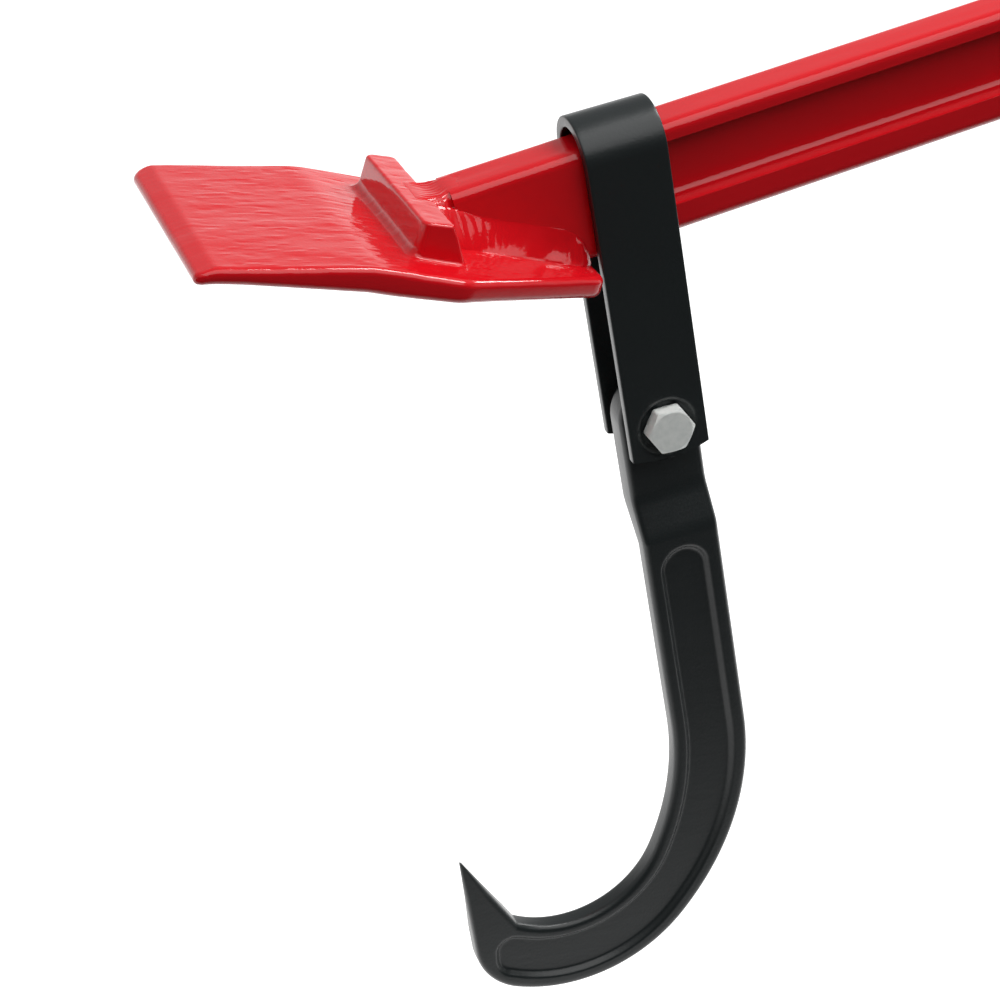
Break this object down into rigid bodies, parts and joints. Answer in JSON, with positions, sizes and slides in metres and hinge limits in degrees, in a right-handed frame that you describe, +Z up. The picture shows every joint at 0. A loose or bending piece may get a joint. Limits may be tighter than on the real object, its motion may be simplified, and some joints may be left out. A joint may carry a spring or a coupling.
{
  "type": "felling lever",
  "caption": "Felling lever with a welded wedge blade, a flat recessed bar, a sliding steel strap and a swinging forged turning hook.",
  "frame": {"origin": "middle of the hand grip, on the bar's centre line", "axes": "+X from the blade towards the grip, level; +Y across the bar, away from the bolt's head; +Z up as the lever is held with the hook hanging plumb"},
  "size_m": [0.779, 0.1016, 0.4899],
  "materials": {
    "red_coat": "gloss",
    "black_coat": "satin",
    "zinc": "zinc plated",
    "polyamide": "matte",
    "grip_rubber": "matte"
  },
  "bodies": {
    "lever": {"lever_bar": "red_coat", "blade": "red_coat", "weld_front": "red_coat", "weld_near": "red_coat", "weld_far": "red_coat", "hand_grip": "grip_rubber"},
    "strap_set": {"strap": "black_coat", "pivot_bolt": "zinc", "lock_nut": "zinc", "nut_insert": "polyamide"},
    "hook_body": {"hook": "black_coat"}
  },
  "joints": [
    {"name": "strap_slide", "type": "slide", "parent": "lever", "child": "strap_set", "axis": [0.9789, 0, 0.2045], "range_m": [0, 0.472]},
    {"name": "hook_hinge", "type": "hinge", "parent": "strap_set", "child": "hook_body", "pos_m": [-0.53095, 0, -0.20362], "axis": [0, -1, 0], "range_deg": [-75, 105]}
  ]
}
